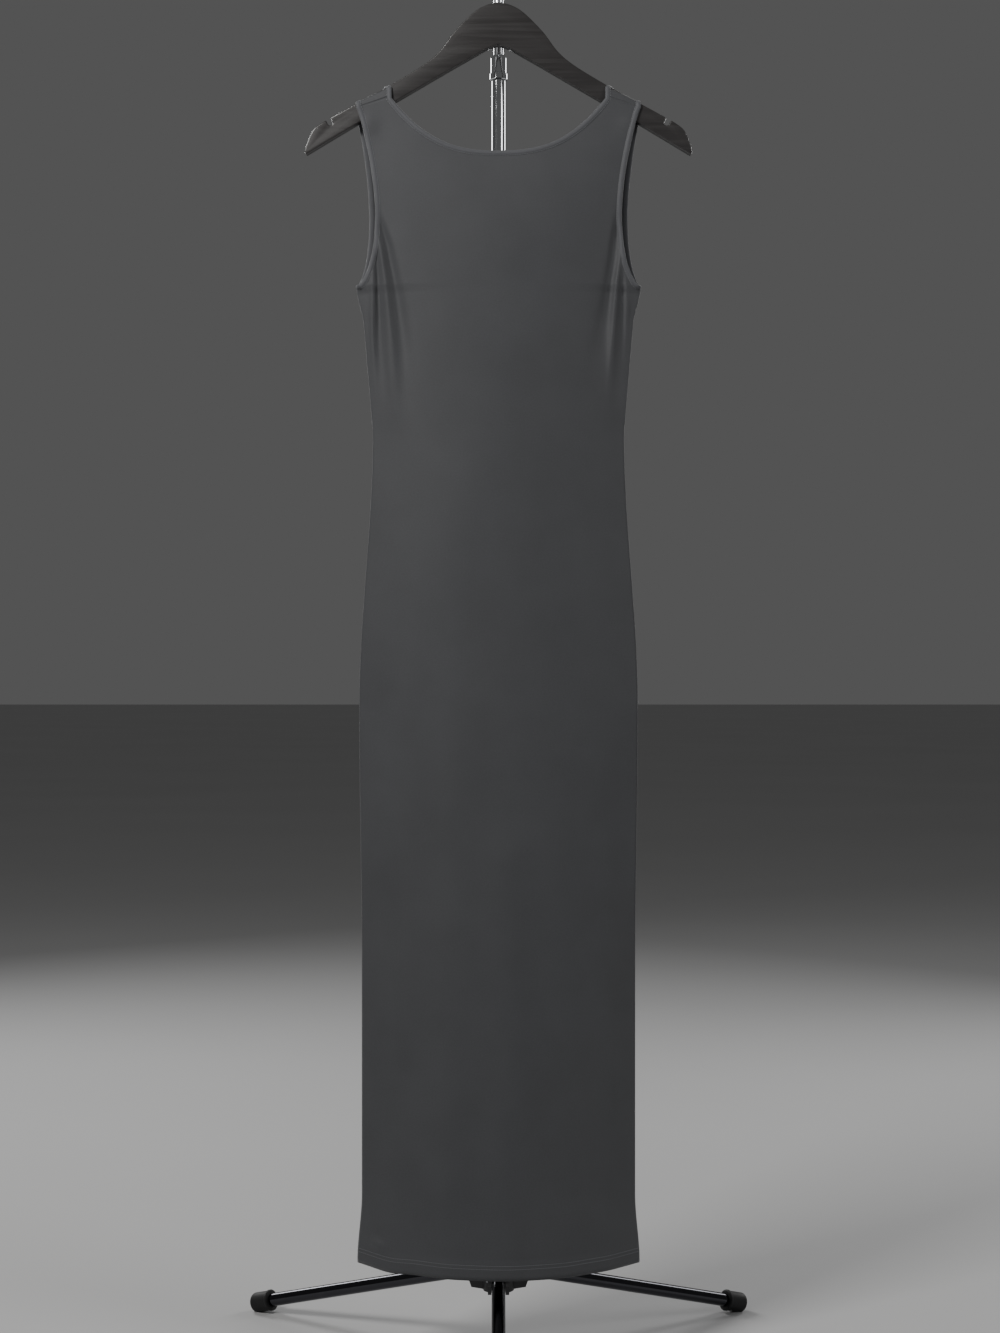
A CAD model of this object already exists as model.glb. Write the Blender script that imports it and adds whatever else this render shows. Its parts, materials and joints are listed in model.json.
import json
import math

import bmesh
import bpy
import numpy as np
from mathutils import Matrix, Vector


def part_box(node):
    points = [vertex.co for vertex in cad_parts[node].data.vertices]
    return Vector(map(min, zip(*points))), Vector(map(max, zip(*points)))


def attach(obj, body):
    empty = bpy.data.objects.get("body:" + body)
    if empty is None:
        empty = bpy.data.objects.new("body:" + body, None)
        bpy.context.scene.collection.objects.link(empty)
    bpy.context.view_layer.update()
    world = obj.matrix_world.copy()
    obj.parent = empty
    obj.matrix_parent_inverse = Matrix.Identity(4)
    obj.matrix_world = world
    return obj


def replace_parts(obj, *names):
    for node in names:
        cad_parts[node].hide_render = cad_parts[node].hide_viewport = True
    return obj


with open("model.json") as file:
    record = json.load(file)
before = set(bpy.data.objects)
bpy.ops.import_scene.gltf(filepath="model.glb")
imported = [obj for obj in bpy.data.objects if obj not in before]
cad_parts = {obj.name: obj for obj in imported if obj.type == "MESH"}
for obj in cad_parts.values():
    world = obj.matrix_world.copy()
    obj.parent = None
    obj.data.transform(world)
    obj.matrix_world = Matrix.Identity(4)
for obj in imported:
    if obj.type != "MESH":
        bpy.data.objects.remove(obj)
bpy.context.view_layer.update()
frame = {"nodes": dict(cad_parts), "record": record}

# ---------- materials ----------


def linear(code):
    """Scene-linear colour of a six-digit sRGB code."""
    parts = [int(code[k : k + 2], 16) / 255 for k in (0, 2, 4)]
    return [c / 12.92 if c <= 0.04045 else ((c + 0.055) / 1.055) ** 2.4 for c in parts] + [1.0]


def fill(tree, made, inputs):
    """Sets a node's inputs to plain values, or links them to sockets."""
    for key, value in inputs.items():
        if isinstance(value, bpy.types.NodeSocket):
            tree.links.new(value, made.inputs[key])
        else:
            made.inputs[key].default_value = value


def node(tree, kind, inputs=None, out=0, **settings):
    """Adds a node, sets it up, and gives one of its outputs."""
    made = tree.nodes.new(kind)
    for key, value in settings.items():
        setattr(made, key, value)
    fill(tree, made, inputs or {})
    return made.outputs[out]


def blank(name, **constants):
    """A material with constants on its shader's own sockets."""
    made = bpy.data.materials.new(name)
    made.use_nodes = True
    shader = made.node_tree.nodes["Principled BSDF"]
    fill(made.node_tree, shader, {key.replace("_", " "): value for key, value in constants.items()})
    return made, made.node_tree, shader


def plated(name, colour, rough, smudge, wear=0.0):
    """Plated metal: smudged roughness, a slightly uneven polish, and paler rubbed patches."""
    made, tree, shader = blank(name, Metallic=1.0)
    where = node(tree, "ShaderNodeTexCoord", out="Object")
    patch_values = {"Vector": where, "Scale": 38.0, "Detail": 5.0, "Roughness": 0.62}
    patches = node(tree, "ShaderNodeTexNoise", patch_values)
    drawn = node(tree, "ShaderNodeMapping", {"Vector": where, "Scale": (900.0, 900.0, 14.0)})
    lines = node(tree, "ShaderNodeTexNoise", {"Vector": drawn, "Scale": 1.0, "Detail": 2.0})
    soft = node(tree, "ShaderNodeMapRange", {0: patches, 1: 0.38, 2: 0.72, 3: rough, 4: rough + smudge})
    rub = node(tree, "ShaderNodeMapRange", {0: patches, 1: 0.58, 2: 0.74, 3: 0.0, 4: wear})
    pale = [min(1.0, c * 1.6 + 0.02) for c in colour[:3]] + [1.0]
    tint = node(tree, "ShaderNodeMix", {0: rub, 6: colour, 7: pale}, out=2, data_type="RGBA")
    bump = node(tree, "ShaderNodeBump", {"Strength": 0.35, "Distance": 0.000012, "Height": lines})
    fill(tree, shader, {"Base Color": tint, "Roughness": soft, "Normal": bump})
    return made


def moulded(name, colour, rough, grain_mm, depth_mm, dust=0.0):
    """Moulded plastic or rubber: an even grain, and a little dust on faces that look up."""
    made, tree, shader = blank(name)
    where = node(tree, "ShaderNodeTexCoord", out="Object")
    cell_values = {"Vector": where, "Scale": 1000.0 / grain_mm}
    cells = node(tree, "ShaderNodeTexVoronoi", cell_values, out="Distance")
    cloud = node(tree, "ShaderNodeTexNoise", {"Vector": where, "Scale": 60.0, "Detail": 4.0})
    facing = node(tree, "ShaderNodeNewGeometry", out="Normal")
    up = node(tree, "ShaderNodeSeparateXYZ", {0: facing}, out="Z")
    lying = node(tree, "ShaderNodeMapRange", {0: up, 1: 0.3, 2: 1.0, 3: 0.0, 4: dust})
    share = node(tree, "ShaderNodeMath", {0: lying, 1: cloud}, operation="MULTIPLY")
    worn = {0: share, 6: colour, 7: linear("8a8780")}
    tint = node(tree, "ShaderNodeMix", worn, out=2, data_type="RGBA")
    soft = node(tree, "ShaderNodeMapRange", {0: cloud, 1: 0.3, 2: 0.7, 3: rough - 0.05, 4: rough + 0.07})
    bump = node(tree, "ShaderNodeBump", {"Strength": 0.6, "Distance": depth_mm / 1000, "Height": cells})
    fill(tree, shader, {"Base Color": tint, "Roughness": soft, "Normal": bump})
    return made


def lacquered_wood(name, stain, paler):
    """Black-stained wood under satin lacquer: grain that runs across the hanger, and open pores."""
    made, tree, shader = blank(name, Coat_Weight=0.55, Coat_Roughness=0.2)
    where = node(tree, "ShaderNodeTexCoord", out="Object")
    along = node(tree, "ShaderNodeMapping", {"Vector": where, "Scale": (9.0, 190.0, 190.0)})
    grain_values = {"Vector": along, "Scale": 1.0, "Detail": 6.0, "Distortion": 0.5}
    grain = node(tree, "ShaderNodeTexNoise", grain_values)
    fine = node(tree, "ShaderNodeMapping", {"Vector": where, "Scale": (70.0, 1700.0, 1700.0)})
    pores = node(tree, "ShaderNodeTexNoise", {"Vector": fine, "Scale": 1.0, "Detail": 2.0})
    pits = node(tree, "ShaderNodeMapRange", {0: pores, 1: 0.3, 2: 0.45, 3: 0.0, 4: 1.0})
    shade = node(tree, "ShaderNodeMapRange", {0: grain, 1: 0.35, 2: 0.7, 3: 0.0, 4: 1.0})
    tint = node(tree, "ShaderNodeMix", {0: shade, 6: stain, 7: paler}, out=2, data_type="RGBA")
    soft = node(tree, "ShaderNodeMapRange", {0: grain, 1: 0.3, 2: 0.7, 3: 0.34, 4: 0.48})
    bump = node(tree, "ShaderNodeBump", {"Strength": 0.4, "Distance": 0.00006, "Height": pits})
    fill(tree, shader, {"Base Color": tint, "Roughness": soft, "Normal": bump})
    return made


def knitted(name, colour, wale_mm=0.75, course_mm=0.6, sheen=0.35):
    """Fine jersey: columns of V-shaped stitches in real size, with soft unevenness of the dye."""
    made, tree, shader = blank(name, Roughness=0.62, Sheen_Weight=sheen, Sheen_Roughness=0.45)
    flat = node(tree, "ShaderNodeUVMap", uv_map="cloth")
    gauge = (1000 / wale_mm, 1000 / course_mm, 1.0)
    stitches = node(tree, "ShaderNodeMapping", {"Vector": flat, "Scale": gauge})
    across = node(tree, "ShaderNodeSeparateXYZ", {0: stitches}, out="X")
    down = node(tree, "ShaderNodeSeparateXYZ", {0: stitches}, out="Y")
    fold = node(tree, "ShaderNodeMath", {0: across, 1: 0.5}, operation="PINGPONG")
    slant = node(tree, "ShaderNodeMath", {0: fold, 1: 1.3, 2: down}, operation="MULTIPLY_ADD")
    loop = node(tree, "ShaderNodeMath", {0: slant, 1: 0.5}, operation="PINGPONG")
    ridge = node(tree, "ShaderNodeMath", {0: fold, 1: 1.2, 2: loop}, operation="MULTIPLY_ADD")
    where = node(tree, "ShaderNodeTexCoord", out="Object")
    cloud_values = {"Vector": where, "Scale": 14.0, "Detail": 5.0, "Roughness": 0.6}
    cloud = node(tree, "ShaderNodeTexNoise", cloud_values)
    yarn = node(tree, "ShaderNodeTexNoise", {"Vector": stitches, "Scale": 0.35, "Detail": 2.0})
    mixed = node(tree, "ShaderNodeMath", {0: cloud, 1: yarn}, operation="ADD")
    level = node(tree, "ShaderNodeMapRange", {0: mixed, 1: 0.6, 2: 1.4, 3: 0.86, 4: 1.14})
    deep = node(tree, "ShaderNodeMapRange", {0: ridge, 1: 0.0, 2: 1.1, 3: 0.8, 4: 1.12})
    both = node(tree, "ShaderNodeMath", {0: level, 1: deep}, operation="MULTIPLY")
    tint = node(tree, "ShaderNodeVectorMath", {0: colour[:3], "Scale": both}, operation="SCALE")
    bump = node(tree, "ShaderNodeBump", {"Strength": 0.5, "Distance": 0.00012, "Height": ridge})
    fill(tree, shader, {"Base Color": tint, "Normal": bump})
    return made


def spun_thread(name, colour):
    """Sewing thread: twisted plies along the stitch."""
    made, tree, shader = blank(name, Roughness=0.55, Sheen_Weight=0.2)
    where = node(tree, "ShaderNodeTexCoord", out="Object")
    twist = {"Vector": where, "Scale": 900.0, "Distortion": 1.5}
    plies = node(tree, "ShaderNodeTexWave", twist, bands_direction="DIAGONAL")
    level = node(tree, "ShaderNodeMapRange", {0: plies, 3: 0.75, 4: 1.1})
    tint = node(tree, "ShaderNodeVectorMath", {0: colour[:3], "Scale": level}, operation="SCALE")
    bump = node(tree, "ShaderNodeBump", {"Strength": 0.5, "Distance": 0.00005, "Height": plies})
    fill(tree, shader, {"Base Color": tint, "Normal": bump})
    return made


# polished chrome plate on the mast, its collar, the head and the peg
chrome = plated("polished_chrome", linear("e6e8ea"), 0.035, 0.05)
# gloss black nickel plate on the legs
black_tube = plated("black_nickel_plate", linear("47474b"), 0.1, 0.08, 0.2)
# black nickel plate on the hook's wire
black_wire = plated("black_nickel_wire", linear("48484c"), 0.16, 0.1, 0.4)
# zinc plate on the pins, the stud and the hanger's bush
zinc = plated("zinc_plate", linear("b9bcbf"), 0.28, 0.16, 0.3)
# chemically blackened steel screws and retaining rings
blackened = plated("blackened_steel", linear("3a3a3c"), 0.36, 0.15, 0.3)
# satin black nylon of the hub, the knuckles, the clamp and its knob
nylon = moulded("satin_black_nylon", linear("1d1d1f"), 0.42, 0.9, 0.035, 0.12)
# matt black rubber of the foot caps
rubber = moulded("matt_black_rubber", linear("121213"), 0.62, 0.6, 0.03, 0.1)
# natural acetal of the guides, the bush, the brake pad and the collet
acetal = moulded("natural_acetal", linear("d6d2c6"), 0.4, 1.2, 0.01)
# black stain and satin lacquer on the hanger
wood = lacquered_wood("black_lacquered_wood", linear("2f2d2d"), linear("363434"))
# charcoal viscose jersey of the dress
jersey = knitted("charcoal_jersey", linear("454649"))
# the same jersey cut on the cross for the bindings
binding_cloth = knitted("jersey_binding", linear("55565a"), 0.7, 0.7, 0.45)
# charcoal sewing thread of the hem, the bindings and the seams
thread = spun_thread("charcoal_thread", linear("7b7d80"))

# ---------- sizes from the CAD boxes, in metres ----------

front_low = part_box("dress_front")[0]
body_low, body_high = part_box("hanger_body")
hook_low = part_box("hanger_hook")[0]
arm_low, arm_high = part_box("armhole_binding_left")

HANGER_Y = (body_low.y + body_high.y) / 2
HANGER_T = body_high.y - body_low.y
NECK_Z = body_high.z
TIP_X = body_high.x
HEM_SAG = 0.008
HEM_Z = front_low.z + HEM_SAG
ARM_HALF = arm_high.x if arm_high.x > 0.1 else -arm_low.x
ARMPIT_Z = arm_low.z
BODY_H = ARMPIT_Z - HEM_Z

# Half widths of the flat dress: at the hem, below the knee, at the hip and at the waist
HEM_HALF, KNEE_HALF, HIP_HALF, WAIST_HALF = 0.162, 0.1568, 0.1598, 0.144
STRAP_IN, STRAP_OUT = 0.128, 0.163
ARM_SLOPE = math.radians(28.5)
ARM_FALL = math.tan(ARM_SLOPE)
ARM_TOP_Z = NECK_Z - 0.0975
STRAP_Z = ARM_TOP_Z + 0.0015
ARMHOLE_DROP = STRAP_Z - ARMPIT_Z
NECK_DROP = 0.077
CLOTH = 0.0009
# Drop of the shoulder seam below the strap's top, and the strap's share of the half panel
SEAM_DROP = 0.015
STRAP_SHARE = 0.2
CLEAR_Y = HANGER_T / 2 + 0.0004
FRONT_FULL, BACK_FULL = 0.05, 0.013


def smooth(t):
    t = np.clip(t, 0.0, 1.0)
    return t * t * (3 - 2 * t)


def mix(a, b, t):
    return a + (b - a) * t


def bell(value, centre, width):
    return np.exp(-(((value - centre) / width) ** 2))


# ---------- the dress's two panels ----------


def half_width(z):
    """Half width of the flat dress at a height between the hem and the armpits."""
    f = (z - HEM_Z) / BODY_H
    low = mix(HEM_HALF, KNEE_HALF, smooth(f / 0.07))
    hip = mix(low, HIP_HALF, smooth((f - 0.3) / 0.27))
    waist = mix(hip, WAIST_HALF, smooth((f - 0.57) / 0.28))
    chest = mix(WAIST_HALF, ARM_HALF, 0.72 * (f - 0.85) / 0.15 + 0.28 * smooth((f - 0.96) / 0.04))
    return np.where(f < 0.85, waist, chest)


def armhole_bow(t, front):
    """How far the armhole's edge is cut in, between the armpit and the strap."""
    bow = np.sin(np.pi * np.clip(t, 0, 1) ** 0.72)
    return (0.0225 if front else 0.015) * np.abs(bow) ** 0.8


def top_edge(s, front):
    """Where the column at share s of the width meets the panel's top edge, as x and z."""
    drop = NECK_DROP if front else NECK_DROP + 0.006
    inner_x = STRAP_IN - 0.005 if front else STRAP_IN
    x = np.interp(1 - np.abs(s), [0.0, STRAP_SHARE, 1.0], [STRAP_OUT, inner_x, 0.0]) * np.sign(s)
    far = inner_x / (1 - SEAM_DROP / drop) ** (1 / 2.6)
    scoop = STRAP_Z - drop * (1 - np.minimum(np.abs(x) / far, 1) ** 2.6)
    share = np.clip((np.abs(x) - inner_x) / (STRAP_OUT - inner_x), 0, 1)
    seam = mix(SEAM_DROP, 0.006, share) if front else SEAM_DROP
    strap = STRAP_Z - np.maximum(np.abs(x) - STRAP_IN, 0) * ARM_FALL - seam
    return x, np.where(np.abs(x) >= inner_x - 1e-6, strap, scoop)


def depth(x, z, full):
    """How far a panel stands from the hanger's plane."""
    up = smooth((z - ARMPIT_Z) / (ARMHOLE_DROP * 0.6))
    low = z < ARMPIT_Z
    width = np.where(low, half_width(z), ARM_HALF + 0.008)
    share = np.minimum(np.abs(x) / width, 1)
    body = mix(full, 0.45 * full + 0.002, (z - HEM_Z) / BODY_H)
    chest = mix(0.45 * full + 0.002, 0.003, smooth((z - ARMPIT_Z) / ARMHOLE_DROP))
    return 0.0001 + CLEAR_Y * up + np.where(low, body, chest) * (1 - share**2.2)


# Pulls below the armholes, in millimetres: height of the ridge or groove, its width at the top and
# at the bottom, and the points (x, z) that its crest passes through, from the armhole down
PULLS = [
    (
        -4.6, 4.0, 13.0,
        [(-138.6, 1321), (-127.2, 1280), (-117, 1227), (-108.7, 1167), (-104.7, 1116), (-101.8, 1054)],
    ),
    (3.2, 3.2, 9.5, [(-138.6, 1300), (-129.4, 1243), (-123.2, 1177), (-120.2, 1116), (-116.7, 1054)]),
    (-3.2, 3.0, 7.5, [(-139.7, 1282), (-138.6, 1239), (-136.5, 1177), (-131.3, 1116), (-127, 1071)]),
    (2.6, 3.2, 5.0, [(-142.6, 1260), (-145.5, 1177), (-144.5, 1126), (-141, 1071)]),
    (
        -5.0, 4.0, 14.0,
        [(138.1, 1329), (131.9, 1270), (124.8, 1219), (115.6, 1167), (107.3, 1106), (103, 1060)],
    ),
    (3.8, 2.6, 6.0, [(140.2, 1274), (135, 1239), (130.9, 1177), (127.8, 1116), (125.8, 1060)]),
    (-2.8, 2.8, 5.5, [(142, 1260), (143.2, 1186), (141.5, 1136), (138, 1090)]),
    (2.2, 3.0, 4.5, [(146.3, 1250), (147.3, 1211), (146.5, 1169), (143, 1130)]),
]
# Long waves of the skirt: middle, width and height, in metres
WAVES = [
    (0.004, 0.034, 0.0032), (-0.060, 0.026, 0.0026), (0.068, 0.027, 0.0030),
    (-0.112, 0.017, 0.0022), (0.113, 0.017, 0.0026),
]


def folds(x, z, front):
    """Soft folds: pulls that run down from the armholes, and long waves that grow to the hem."""
    share = np.clip(np.abs(x) / np.where(z < ARMPIT_Z, half_width(z), ARM_HALF), 0, 1)
    fade = 1 - smooth((share - 0.93) / 0.07)
    total = np.zeros_like(x)
    for height, narrow, wide, crest in PULLS:
        px, pz = np.array(crest[::-1]).T / 1000
        way = np.clip((pz[-1] - z) / (pz[-1] - pz[0]), 0, 1)
        line = np.interp(z, pz, px)
        width = mix(narrow, wide, way) / 1000
        rise = smooth((pz[-1] + 0.012 - z) / 0.05) * (1 - smooth((way - 0.3) / 0.7))
        total = total + (1.0 if front else 0.35) * height / 1000 * rise * bell(x, line, width)
    grow = smooth((1.05 - z) / 0.8)
    for centre, width, height in WAVES:
        drift = centre + 0.012 * np.sin(2.6 * z + 9 * centre)
        total = total + (height if front else 0.5 * height) * grow * bell(x, drift, width)
    total = total + 0.0005 * np.sin(31 * z + 17 * x) * np.sin(44 * x + 5 * z + 1.3)
    tug = bell(x, np.sign(x) * 0.150, 0.012) * bell(z, STRAP_Z - 0.045, 0.012)
    total = total + (0.0016 * tug if front else 0)
    low_pucker = bell(x, -0.138, 0.009) * bell(z, HEM_Z + 0.026, 0.007)
    pucker = low_pucker - 0.7 * bell(x, -0.136, 0.010) * bell(z, HEM_Z + 0.038, 0.006)
    hem_turn = 0.0011 * (1 - smooth((z - HEM_Z - 0.0172) / 0.0012))
    return total * fade + hem_turn + (0.0026 * pucker if front else 0)


def panel_points(front, across, up_low, up_high):
    """Grid of a panel's outer face, rows from the hem to the top, with its flat lengths as UVs."""
    s = np.linspace(-1, 1, across) if front else np.linspace(1, -1, across)
    side = -1 if front else 1
    full = FRONT_FULL if front else BACK_FULL
    tx, tz = top_edge(s, front)
    rows = []
    for z in np.linspace(HEM_Z, ARMPIT_Z, up_low)[:-1]:
        rows.append((s * half_width(np.full_like(s, z)), np.full_like(s, z)))
    for t in np.linspace(0, 1, up_high):
        cut = s * np.abs(s) ** 3 * armhole_bow(t, front)
        rows.append((mix(s * ARM_HALF, tx, t) - cut, mix(ARMPIT_Z, tz, t)))
    x = np.array([r[0] for r in rows])
    z = np.array([r[1] for r in rows])
    y = HANGER_Y + side * (depth(x, z, full) + CLOTH + folds(x, z, front))
    if front:
        sag = smooth(1 - (z - HEM_Z) / 0.18) * (1 - (x / HEM_HALF) ** 2)
        dip = 0.0022 * bell(x, -0.125, 0.022) * smooth(1 - (z - HEM_Z) / 0.1)
        z = z - HEM_SAG * np.clip(sag, 0, 1) - dip
    return np.stack([x, y, z], axis=-1)


def grid_mesh(name, points, closed=False):
    """A mesh of squares over a grid of points, with UVs that hold the lengths along both ways."""
    rows, cols = points.shape[:2]
    turn = cols if closed else cols - 1
    faces = [
        (r * cols + c, r * cols + (c + 1) % cols, (r + 1) * cols + (c + 1) % cols, (r + 1) * cols + c)
        for r in range(rows - 1)
        for c in range(turn)
    ]
    data = bpy.data.meshes.new(name)
    data.from_pydata(points.reshape(-1, 3).tolist(), [], faces)
    wrapped = np.concatenate([points, points[:, :1]], axis=1) if closed else points
    across = np.linalg.norm(np.diff(wrapped, axis=1), axis=2)
    up = np.linalg.norm(np.diff(points, axis=0), axis=2)
    u = np.concatenate([np.zeros((rows, 1)), np.cumsum(across, axis=1)], axis=1)
    v = np.concatenate([np.zeros((1, cols)), np.cumsum(up, axis=0)], axis=0)
    u = u - u[:, u.shape[1] // 2][:, None]
    layer = data.uv_layers.new(name="cloth")
    spot = 0
    values = np.zeros((len(faces) * 4, 2), np.float32)
    for r in range(rows - 1):
        for c in range(turn):
            for k, (dr, dc) in enumerate(((0, 0), (0, 1), (1, 1), (1, 0))):
                values[spot + k] = (u[r + dr, c + dc], v[r + dr, (c + dc) % cols])
            spot += 4
    layer.data.foreach_set("uv", values.ravel())
    data.polygons.foreach_set("use_smooth", [True] * len(faces))
    made = bpy.data.objects.new(name, data)
    bpy.context.scene.collection.objects.link(made)
    return made

# ---------- dress: panels, straps, bindings and seams ----------

ACROSS, UP_LOW, UP_HIGH = 201, 220, 90
STRAP_COLS = round((ACROSS - 1) / 2 * STRAP_SHARE) + 1


def mended(piece, weld=0.0, outward=True):
    """Welds points closer than weld, and turns the faces of a closed piece outwards."""
    work = bmesh.new()
    work.from_mesh(piece.data)
    if weld:
        bmesh.ops.remove_doubles(work, verts=work.verts, dist=weld)
    if outward:
        bmesh.ops.recalc_face_normals(work, faces=work.faces)
    work.to_mesh(piece.data)
    work.free()


def finish_piece(piece, finish, body, sharp=None):
    piece.data.materials.clear()
    piece.data.materials.append(finish)
    if sharp is not None:
        piece.data.set_sharp_from_angle(angle=math.radians(sharp))
    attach(piece, body)
    return piece


def catmull(a, b, c, d, f):
    """Catmull-Rom point at a share f of the way from b to c."""
    return 0.5 * (
        2 * b + (c - a) * f + (2 * a - 5 * b + 4 * c - d) * f**2 + (3 * b - a - 3 * c + d) * f**3
    )


def curve_through(points, count):
    """Even Catmull-Rom samples through points, which are (n, columns, 3)."""
    p = np.concatenate([2 * points[:1] - points[1:2], points, 2 * points[-1:] - points[-2:-1]])
    out = []
    for t in np.linspace(0, len(points) - 1 - 1e-9, count):
        i, f = int(t), t - int(t)
        a, b, c, d = p[i], p[i + 1], p[i + 2], p[i + 3]
        out.append(catmull(a, b, c, d, f))
    return np.array(out)


front_grid = panel_points(True, ACROSS, UP_LOW, UP_HIGH)
back_grid = panel_points(False, ACROSS, UP_LOW, UP_HIGH)


def strap_strip(side):
    """The back's strap, over the hanger's arm and down to the shoulder seam: (rows, columns, 3)."""
    pick = slice(0, STRAP_COLS) if side > 0 else slice(ACROSS - STRAP_COLS, ACROSS)
    start = back_grid[-1, pick]
    other = slice(ACROSS - STRAP_COLS, ACROSS) if side > 0 else slice(0, STRAP_COLS)
    end = front_grid[-1, other][::-1].copy()
    x = start[:, 0]
    top = STRAP_Z - np.maximum(np.abs(x) - STRAP_IN, 0) * ARM_FALL
    way = [(0.0076, -0.008), (0.0074, -0.0042), (0.0063, -0.0013), (0.0035, 0.0001), (0.0, 0.0004)]
    way = way + [(-y, z) for y, z in way[-2::-1]]
    rows = [start]
    for y, z in way[:-1]:
        across = mix(x, end[:, 0], smooth((0.004 - y) / 0.012))
        rows.append(np.stack([across, HANGER_Y + y + 0 * x, top + z], axis=-1))
    rows.append(end)
    return curve_through(np.array(rows), 30)


strips = {side: strap_strip(side) for side in (-1, 1)}


def joined(name, pieces_to_join):
    """One mesh from several grids whose shared rows are welded."""
    bpy.ops.object.select_all(action="DESELECT")
    for piece in pieces_to_join:
        piece.select_set(True)
    bpy.context.view_layer.objects.active = pieces_to_join[0]
    bpy.ops.object.join()
    made = pieces_to_join[0]
    mended(made, weld=0.00002, outward=False)
    made.name = name
    return made


def thicken(piece, thickness):
    made = piece.modifiers.new("cloth", "SOLIDIFY")
    made.thickness = thickness
    made.offset = -1.0
    return piece


front = thicken(grid_mesh("dress_front_cloth", front_grid), CLOTH)
back_parts = [grid_mesh("dress_back_cloth", back_grid)]
back_parts += [grid_mesh(f"strap_{side}", strips[side]) for side in (-1, 1)]
back = thicken(joined("dress_back_cloth", back_parts), CLOTH)


def unit(v):
    return v / np.maximum(np.linalg.norm(v, axis=-1, keepdims=True), 1e-12)


def edge_frame(edge, inner, closed=True):
    """Along an edge: the way into the cloth, and the way out of its face, both evened out."""
    step = np.roll(edge, -1, axis=0) - np.roll(edge, 1, axis=0)
    along = unit(step)
    into = inner - edge
    into = unit(into - along * np.sum(into * along, axis=1, keepdims=True))
    for _ in range(6):
        into = unit((np.roll(into, 1, axis=0) + 2 * into + np.roll(into, -1, axis=0)) / 4)
    out = unit(np.cross(along, into))
    return into, out


# Section of a binding in millimetres: into the cloth from its edge, and out of its outer face
BINDING = [
    (6.1, -0.3), (5.7, 0.35), (5.2, 0.3), (4.7, 0.75), (4.0, 1.15), (3.0, 1.4), (1.8, 1.5),
    (0.7, 1.25), (-0.3, 0.6),
    (-0.6, -0.3), (-0.45, -1.1), (0.2, -1.7), (1.5, -1.9), (4.0, -1.75), (5.6, -1.5), (6.1, -1.0),
]


def binding(name, edge, inner, outward, finish, cad_node):
    """A folded strip of jersey sewn round an edge."""
    keep = [0]
    for k in range(1, len(edge)):
        if np.linalg.norm(edge[k] - edge[keep[-1]]) > 0.0012:
            keep.append(k)
    if np.linalg.norm(edge[keep[-1]] - edge[0]) < 0.0012:
        keep.pop()
    edge, inner = edge[keep], inner[keep]
    into, out = edge_frame(edge, inner)
    if np.sum(out * outward[keep]) < 0:
        out = -out
    shape = np.array(BINDING) / 1000
    ring = edge[:, None] + shape[None, :, :1] * into[:, None] + shape[None, :, 1:] * out[:, None]
    ring = np.concatenate([ring, ring[:1]], axis=0)
    made = grid_mesh(name, ring, closed=True)
    mended(made, weld=0.00001)
    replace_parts(finish_piece(made, finish, "hanger"), cad_node)
    stitch = edge + 0.0054 * into + 0.0005 * out
    return made, stitch


FRONT_NECK = slice(STRAP_COLS - 1, ACROSS - STRAP_COLS + 1)
NECK_REACH = 8

# round the neck: along the front, over the viewer's right shoulder, along the back, and over the left
neck_parts = [
    (front_grid[-1, FRONT_NECK], front_grid[-NECK_REACH, FRONT_NECK]),
    (strips[1][::-1, -1], strips[1][::-1, -4]),
    (back_grid[-1, FRONT_NECK], back_grid[-NECK_REACH, FRONT_NECK]),
    (strips[-1][:, 0], strips[-1][:, 3]),
]


def outward_of(points):
    """Roughly out of the cloth: away from the hanger's plane, and up over the shoulders."""
    way = points.copy()
    way[:, 0] = 0
    way[:, 1] = points[:, 1] - HANGER_Y
    shoulder = STRAP_Z - np.maximum(np.abs(points[:, 0]) - STRAP_IN, 0) * ARM_FALL
    way[:, 2] = np.maximum(points[:, 2] - (shoulder - 0.006), 0)
    return unit(way + 1e-9)


def chained(parts):
    """Joins runs of edge and inner points end to end, each turned round if its far end is nearer."""
    edge, inner = parts[0]
    edge, inner = edge.copy(), inner.copy()
    for e, i in parts[1:]:
        if np.linalg.norm(e[-1] - edge[-1]) < np.linalg.norm(e[0] - edge[-1]):
            e, i = e[::-1], i[::-1]
        edge, inner = np.concatenate([edge, e]), np.concatenate([inner, i])
    return edge, inner


neck_edge, neck_inner = chained(neck_parts)
neck_stitch = binding(
    "neck_binding_cloth", neck_edge, neck_inner, outward_of(neck_edge), binding_cloth, "neck_binding"
)[1]

LOW = UP_LOW - 1
arm_stitches = {}
for side, label in ((-1, "left"), (1, "right")):
    f = 0 if side < 0 else ACROSS - 1
    b = ACROSS - 1 if side < 0 else 0
    inward = 6 if side < 0 else -6
    parts = [
        (front_grid[LOW:, f], front_grid[LOW:, f + inward]),
        (strips[side][::-1, 0 if side > 0 else -1], strips[side][::-1, 3 if side > 0 else -4]),
        (back_grid[LOW:, b][::-1], back_grid[LOW:, b - inward][::-1]),
    ]
    edge, inner = chained(parts)
    replaced = f"armhole_binding_{label}"
    arm_stitches[label] = binding(
        f"{replaced}_cloth", edge, inner, outward_of(edge), binding_cloth, replaced
    )[1]


def swept(name, path, section, frames):
    """A closed bead: a section, in metres, carried along a path with two unit vectors at each point."""
    first, second = frames
    ring = path[:, None] + section[None, :, :1] * first[:, None] + section[None, :, 1:] * second[:, None]
    made = grid_mesh(name, ring, closed=True)
    mended(made)
    return made


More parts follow.
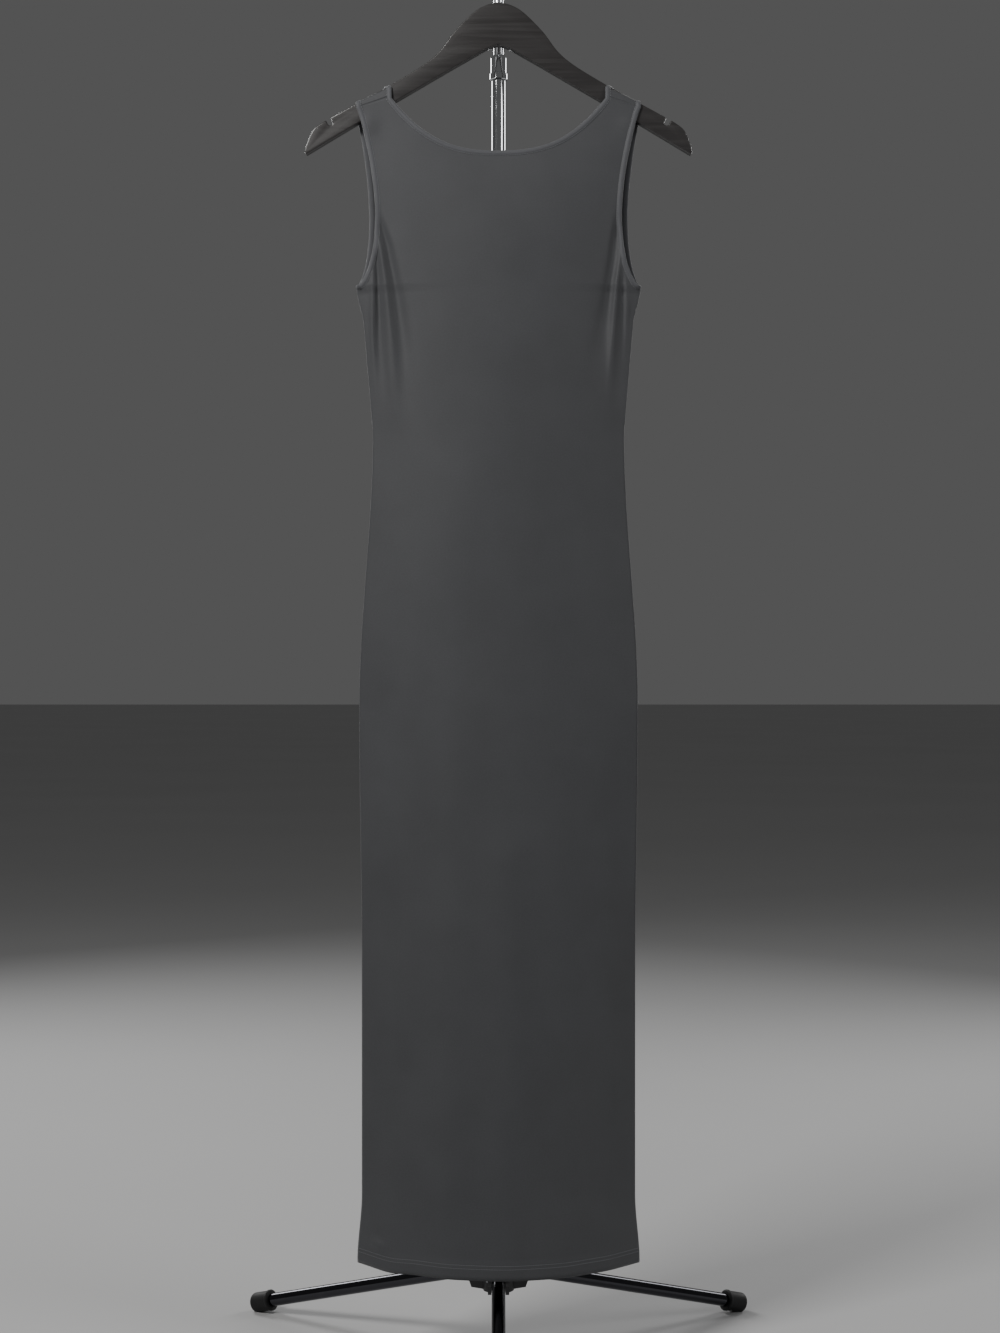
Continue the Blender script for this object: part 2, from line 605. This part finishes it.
circle = np.array([(math.cos(a), math.sin(a)) for a in np.linspace(0, 2 * math.pi, 12, endpoint=False)])
for side, label in ((-1, "left"), (1, "right")):
    z = np.linspace(HEM_Z + 0.0005, ARMPIT_Z - 0.0005, 260)
    path = np.stack([side * (half_width(z) - 0.0006), HANGER_Y + 0 * z, z], axis=-1)
    ends = np.tile(np.array([[1.0, 0, 0]]), (len(z), 1)), np.tile(np.array([[0, 1.0, 0]]), (len(z), 1))
    bead = swept(f"side_seam_{label}", path, circle * np.array([0.001, 0.00125]), ends)
    finish_piece(bead, jersey, "hanger")

for piece, cad_node in ((front, "dress_front"), (back, "dress_back")):
    finish_piece(piece, jersey, "hanger")
    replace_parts(piece, cad_node)

# ---------- stitches: a Geometry Nodes repeat along each line of sewing ----------


def stitch_nodes():
    """Geometry Nodes group: spindle-shaped stitches laid end to end along a curve."""
    group = bpy.data.node_groups.new("stitch_run", "GeometryNodeTree")
    face = group.interface
    face.new_socket("Line", in_out="INPUT", socket_type="NodeSocketGeometry")
    for name, kind, value in (
        ("Pitch", "NodeSocketFloat", 0.003),
        ("Stitch length", "NodeSocketFloat", 0.0023),
        ("Thread width", "NodeSocketFloat", 0.00055),
        ("Unevenness", "NodeSocketFloat", 0.12),
        ("Seed", "NodeSocketInt", 7),
        ("Finish", "NodeSocketMaterial", thread),
    ):
        face.new_socket(name, in_out="INPUT", socket_type=kind).default_value = value
    face.new_socket("Stitches", in_out="OUTPUT", socket_type="NodeSocketGeometry")
    start = group.nodes.new("NodeGroupInput").outputs
    spacing = {"Curve": start["Line"], "Length": start["Pitch"]}
    even = node(group, "GeometryNodeResampleCurve", spacing, mode="LENGTH")
    bead = node(group, "GeometryNodeMeshUVSphere", {"Segments": 6, "Rings": 5, "Radius": 0.5})
    way = node(group, "GeometryNodeInputTangent")
    turn = node(group, "FunctionNodeAlignRotationToVector", {"Vector": way}, axis="X")
    draw = {2: 0.0, 3: 1.0, "Seed": start["Seed"]}
    wobble = node(group, "FunctionNodeRandomValue", draw, out=1, data_type="FLOAT")
    spread = node(group, "ShaderNodeMath", {0: wobble, 1: start["Unevenness"]}, operation="MULTIPLY")
    share = node(group, "ShaderNodeMath", {0: 1.0, 1: spread}, operation="SUBTRACT")
    length = node(group, "ShaderNodeMath", {0: start["Stitch length"], 1: share}, operation="MULTIPLY")
    width = start["Thread width"]
    size = node(group, "ShaderNodeCombineXYZ", {0: length, 1: width, 2: width})
    placed = {"Points": even, "Instance": bead, "Rotation": turn, "Scale": size}
    laid = node(group, "GeometryNodeInstanceOnPoints", placed)
    real = node(group, "GeometryNodeRealizeInstances", {0: laid})
    done = node(group, "GeometryNodeSetMaterial", {"Geometry": real, "Material": start["Finish"]})
    end = group.nodes.new("NodeGroupOutput")
    group.links.new(done, end.inputs[0])
    return group


STITCHES = stitch_nodes()


def stitched(name, line, seed, pitch=0.003, closed=False):
    """Stitches along a line of points, as a plain mesh."""
    data = bpy.data.curves.new(name, "CURVE")
    data.dimensions = "3D"
    spline = data.splines.new("POLY")
    spline.points.add(len(line) - 1)
    spline.points.foreach_set("co", np.concatenate([line, np.ones((len(line), 1))], axis=1).ravel())
    spline.use_cyclic_u = closed
    curve = bpy.data.objects.new(name + "_line", data)
    bpy.context.scene.collection.objects.link(curve)
    made = curve.modifiers.new("stitches", "NODES")
    made.node_group = STITCHES
    ids = {item.name: item.identifier for item in STITCHES.interface.items_tree if item.in_out == "INPUT"}
    made[ids["Pitch"]] = pitch
    made[ids["Stitch length"]] = pitch * 0.8
    made[ids["Seed"]] = seed
    made[ids["Finish"]] = thread
    graph = bpy.context.evaluated_depsgraph_get()
    mesh = bpy.data.meshes.new_from_object(curve.evaluated_get(graph))
    piece = bpy.data.objects.new(name, mesh)
    bpy.context.scene.collection.objects.link(piece)
    bpy.data.objects.remove(curve)
    mesh.polygons.foreach_set("use_smooth", [True] * len(mesh.polygons))
    return finish_piece(piece, thread, "hanger")


def row_at(grid, height, lift):
    """A level line across a panel at a height above its hem, lifted off its face."""
    k = height / (grid[1, 0, 2] - grid[0, 0, 2])
    low, share = int(k), k - int(k)
    line = mix(grid[low], grid[low + 1], share)
    side = np.sign(line[:, 1] - HANGER_Y)
    line[:, 1] += side * lift
    return line


for label, grid in (("front", front_grid), ("back", back_grid)):
    for count, height in enumerate((0.0128, 0.0166)):
        row = row_at(grid, height, 0.00012)
        stitched(f"hem_stitch_{label}_{count}", row, 11 + count, 0.0029)
stitched("neck_stitch", neck_stitch, 21, 0.0028, True)
for label, line in arm_stitches.items():
    stitched(f"armhole_stitch_{label}", line, 31, 0.0028, True)

# ---------- hanger ----------


def spline_2d(points, steps):
    p = np.array([points[0]] + list(points) + [points[-1]], float)
    out = []
    for k in range(1, len(p) - 2):
        a, b, c, d = p[k - 1], p[k], p[k + 1], p[k + 2]
        for f in np.arange(steps) / steps:
            out.append(catmull(a, b, c, d, f))
    return [tuple(q) for q in out] + [tuple(p[-1])]


def arm_top(x):
    return ARM_TOP_Z - (x - STRAP_IN) * ARM_FALL


def hanger_outline():
    """Right half of the hanger's outline, from the neck round the tip and back, as x and z."""
    tip_z = arm_top(TIP_X) - 0.026
    apex = NECK_Z - 0.045
    neck_line = [(0, 0), (14, -3.2), (29, -12), (51, -34), (69, -57.5), (90, -74.5)]
    run = spline_2d([(x / 1000, NECK_Z + z / 1000) for x, z in neck_line] + [(STRAP_IN, ARM_TOP_Z)], 8)
    notch_x = TIP_X - 0.027
    down = np.array([-math.sin(ARM_SLOPE), -math.cos(ARM_SLOPE)])
    along = np.array([math.cos(ARM_SLOPE), -math.sin(ARM_SLOPE)])
    mouth = np.array([notch_x, arm_top(notch_x)])
    deep, r = 0.008, 0.003
    run.append(tuple(mouth - along * (r + 0.0008)))
    run.append(tuple(mouth - along * r + down * 0.0009))
    for a in np.linspace(0, math.pi, 9):
        run.append(tuple(mouth + down * (deep - r + r * math.sin(a)) - along * r * math.cos(a)))
    run.append(tuple(mouth + along * r + down * 0.0009))
    run.append(tuple(mouth + along * (r + 0.0008)))
    end = [
        (TIP_X - 0.0195, arm_top(TIP_X - 0.0195) - 0.0004),
        (TIP_X - 0.009, arm_top(TIP_X - 0.009) - 0.0035),
    ]
    run += spline_2d(end + [(TIP_X - 0.001, tip_z + 0.009)], 5)
    run += [(TIP_X, tip_z + 0.003), (TIP_X - 0.0015, tip_z - 0.0002)]

    def under(x):
        return apex + (tip_z - apex) * x / TIP_X

    run += [(x, under(x)) for x in (0.16, 0.1, 0.05)]
    run += [(0.014, under(0.014) - 0.0004), (0.006, under(0.006) - 0.0022), (0, under(0) - 0.0034)]
    return run


right_half = hanger_outline()
left_half = [(-x, z) for x, z in right_half[-2:0:-1]]
outline = right_half + left_half
count = len(outline)
y_front, y_back = HANGER_Y - HANGER_T / 2, HANGER_Y + HANGER_T / 2
verts = [(x, y_front, z) for x, z in outline] + [(x, y_back, z) for x, z in outline]
faces = [tuple(range(count)), tuple(range(2 * count - 1, count - 1, -1))]
faces += [(k, k + count, (k + 1) % count + count, (k + 1) % count) for k in range(count)]
data = bpy.data.meshes.new("hanger_wood")
data.from_pydata(verts, [], faces)
hanger = bpy.data.objects.new("hanger_wood", data)
bpy.context.scene.collection.objects.link(hanger)
mended(hanger)
rounding = hanger.modifiers.new("rounded_edges", "BEVEL")
rounding.width = 0.0022
rounding.segments = 4
rounding.limit_method = "ANGLE"
rounding.angle_limit = math.radians(60)
data.polygons.foreach_set("use_smooth", [True] * len(data.polygons))
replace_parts(finish_piece(hanger, wood, "hanger"), "hanger_body")

# ---------- hook ----------

WIRE_R = 0.0019
BEND_R = 0.019 + WIRE_R
SHANK_TOP = NECK_Z + 0.006
ARCH_Z = SHANK_TOP + 2 * BEND_R * math.sin(math.radians(60))


def around(x, z, start, stop, steps):
    turns = np.radians(np.linspace(start, stop, steps))
    return [(x + BEND_R * math.cos(a), z + BEND_R * math.sin(a)) for a in turns]


hook_path = [(0, z) for z in np.linspace(hook_low.z + 0.001, SHANK_TOP, 12)]
hook_path += around(BEND_R, SHANK_TOP, 180, 120, 14)[1:]
hook_path += around(0, ARCH_Z, -60, 208, 60)[1:]
path = np.array([(x, HANGER_Y, z) for x, z in hook_path])
ahead = unit(np.gradient(path, axis=0))
flat_way = np.tile(np.array([[0, 1.0, 0]]), (len(path), 1))
radii = np.full(len(path), WIRE_R)
radii[-1] *= 0.72
path = np.concatenate([path, path[-1:] + ahead[-1:] * 0.0004])
radii = np.append(radii, 0.0002)
ahead, flat_way = np.concatenate([ahead, ahead[-1:]]), np.concatenate([flat_way, flat_way[-1:]])
side_way = unit(np.cross(ahead, flat_way))
spokes = np.array([(math.cos(a), math.sin(a)) for a in np.linspace(0, 2 * math.pi, 20, endpoint=False)])
ring = path[:, None] + radii[:, None, None] * (
    spokes[None, :, :1] * side_way[:, None] + spokes[None, :, 1:] * flat_way[:, None]
)
hook = grid_mesh("hook_wire", ring, closed=True)
mended(hook)
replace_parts(finish_piece(hook, black_wire, "hook"), "hanger_hook")

# ---------- finishes of the CAD pieces ----------

FINISHES = {
    "black_nylon": nylon,
    "zinc_steel": zinc,
    "blackened_steel": blackened,
    "black_tube": black_tube,
    "rubber": rubber,
    "chrome_tube": chrome,
    "acetal": acetal,
}
for part in frame["record"]["subparts"]:
    piece = frame["nodes"][part["node"]]
    if piece.hide_render:
        continue
    piece.data.materials.clear()
    piece.data.materials.append(FINISHES[part["material_slot"]])
    piece.data.polygons.foreach_set("use_smooth", [True] * len(piece.data.polygons))
    piece.data.set_sharp_from_angle(angle=math.radians(32))

# ---------- sheets ----------

# ---------- floor, light and camera ----------

bpy.ops.mesh.primitive_plane_add(size=90, location=(0, 0, -0.0002))
floor = bpy.context.object
floor.name = "studio_floor"
paper, tree, shader = blank("pale_paper_floor", Roughness=0.85)
speck = node(tree, "ShaderNodeTexNoise", {"Scale": 60.0, "Detail": 3.0})
tone = node(tree, "ShaderNodeMapRange", {0: speck, 3: 0.5, 4: 0.56})
fill(tree, shader, {"Base Color": tone})
floor.data.materials.append(paper)


def lamp(name, place, aim, width, height, watts, shade="ffffff"):
    """A soft rectangular studio light."""
    data = bpy.data.lights.new(name, "AREA")
    data.shape = "RECTANGLE"
    data.size, data.size_y = width, height
    data.energy = watts
    data.color = linear(shade)[:3]
    made = bpy.data.objects.new(name, data)
    made.location = place
    made.rotation_euler = (Vector(aim) - Vector(place)).to_track_quat("-Z", "Y").to_euler()
    bpy.context.scene.collection.objects.link(made)


lamp("key_left", (-1.55, -1.7, 2.6), (0, HANGER_Y, 1.55), 0.8, 0.9, 58, "fffefc")
lamp("fill_right", (2.3, -1.35, 1.9), (0, HANGER_Y, 1.1), 0.9, 1.6, 17)
lamp("back_left", (-1.7, 2.3, 2.2), (0, 0.05, 1.0), 0.9, 1.6, 42)
lamp("back_right", (1.9, 2.1, 1.7), (0, 0.05, 0.9), 0.8, 1.6, 24)

world = bpy.data.worlds.new("soft_grey_room")
world.use_nodes = True
world.node_tree.nodes["Background"].inputs["Color"].default_value = linear("c8c8c8")
world.node_tree.nodes["Background"].inputs["Strength"].default_value = 0.16
bpy.context.scene.world = world

camera_data = bpy.data.cameras.new("camera")
camera_data.sensor_width = 36
camera_data.lens = 61.06
camera = bpy.data.objects.new("camera", camera_data)
camera.location = (0.0017, HANGER_Y - 2.6, NECK_Z - 0.7625)
camera.rotation_euler = (math.radians(90), 0, 0)
bpy.context.scene.collection.objects.link(camera)
bpy.context.scene.camera = camera
